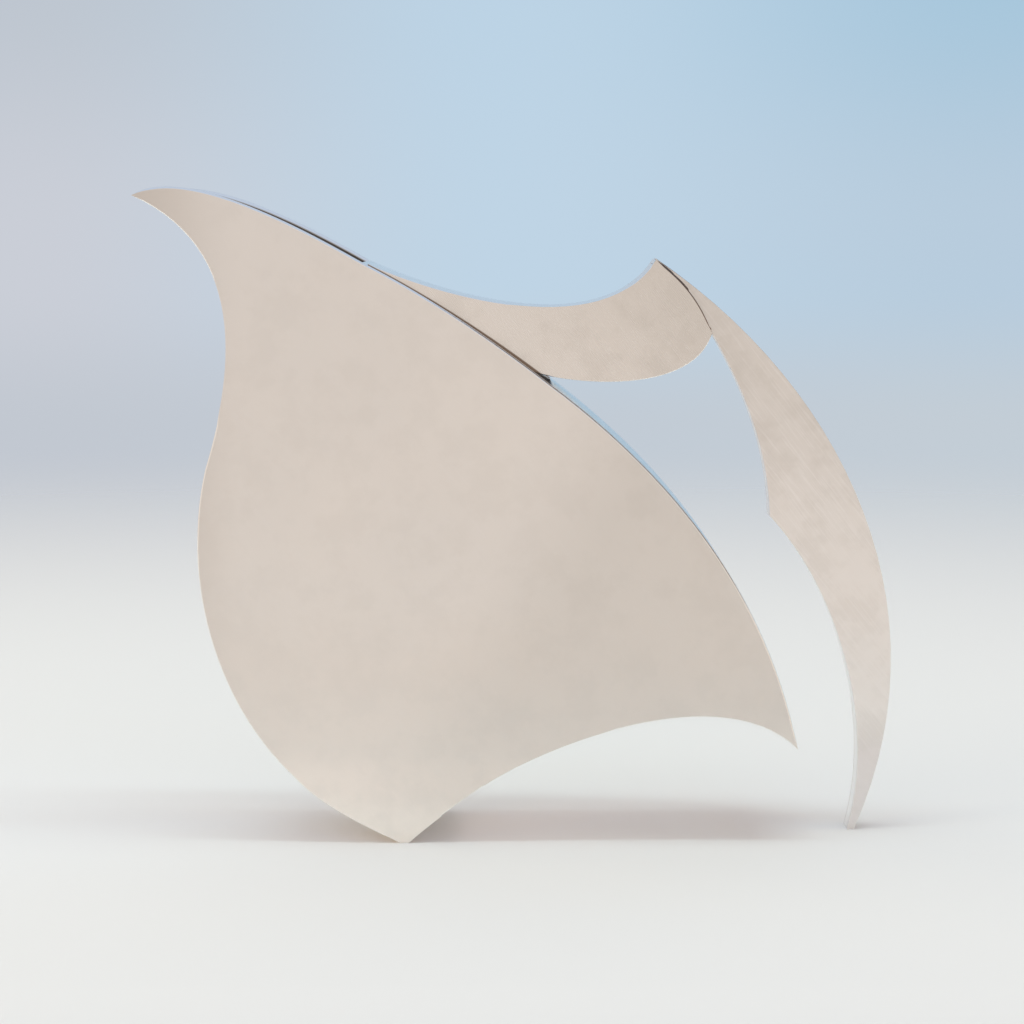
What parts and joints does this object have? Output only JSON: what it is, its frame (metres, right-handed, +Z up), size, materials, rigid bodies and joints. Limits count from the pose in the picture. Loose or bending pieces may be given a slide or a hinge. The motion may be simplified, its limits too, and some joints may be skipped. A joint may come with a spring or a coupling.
{
  "type": "cream jug",
  "caption": "Modern silver cream jug: slim flat-sided body on a ridge base, slot mouth with pointed spout, tapered arm and blade leg as handle.",
  "frame": {"origin": "on the table, under the middle of the jug's overall box", "axes": "+X from the spout to the handle's leg, +Y across the jug's depth, +Z up"},
  "size_m": [0.1279, 0.026, 0.1102],
  "materials": {
    "satin_silver": "satin silver with a fine scratch grain",
    "wall_silver": "satin silver, grain along the bent strip"
  },
  "bodies": {
    "root": {"left_side_panel": "satin_silver", "right_side_panel": "satin_silver", "arm_left_cheek": "satin_silver", "arm_right_cheek": "satin_silver", "leg_left_face": "satin_silver", "leg_right_face": "satin_silver", "breast_wall": "wall_silver", "belly_wall": "wall_silver", "back_wall": "wall_silver", "base_ridge_bar": "wall_silver", "saddle_plate": "wall_silver", "arm_top_wall": "wall_silver", "arm_bottom_wall": "wall_silver", "arm_end_wall": "wall_silver", "leg_outer_wall": "wall_silver", "leg_inner_wall_upper": "wall_silver", "leg_inner_wall_lower": "wall_silver", "foot_pad": "wall_silver"}
  },
  "joints": []
}
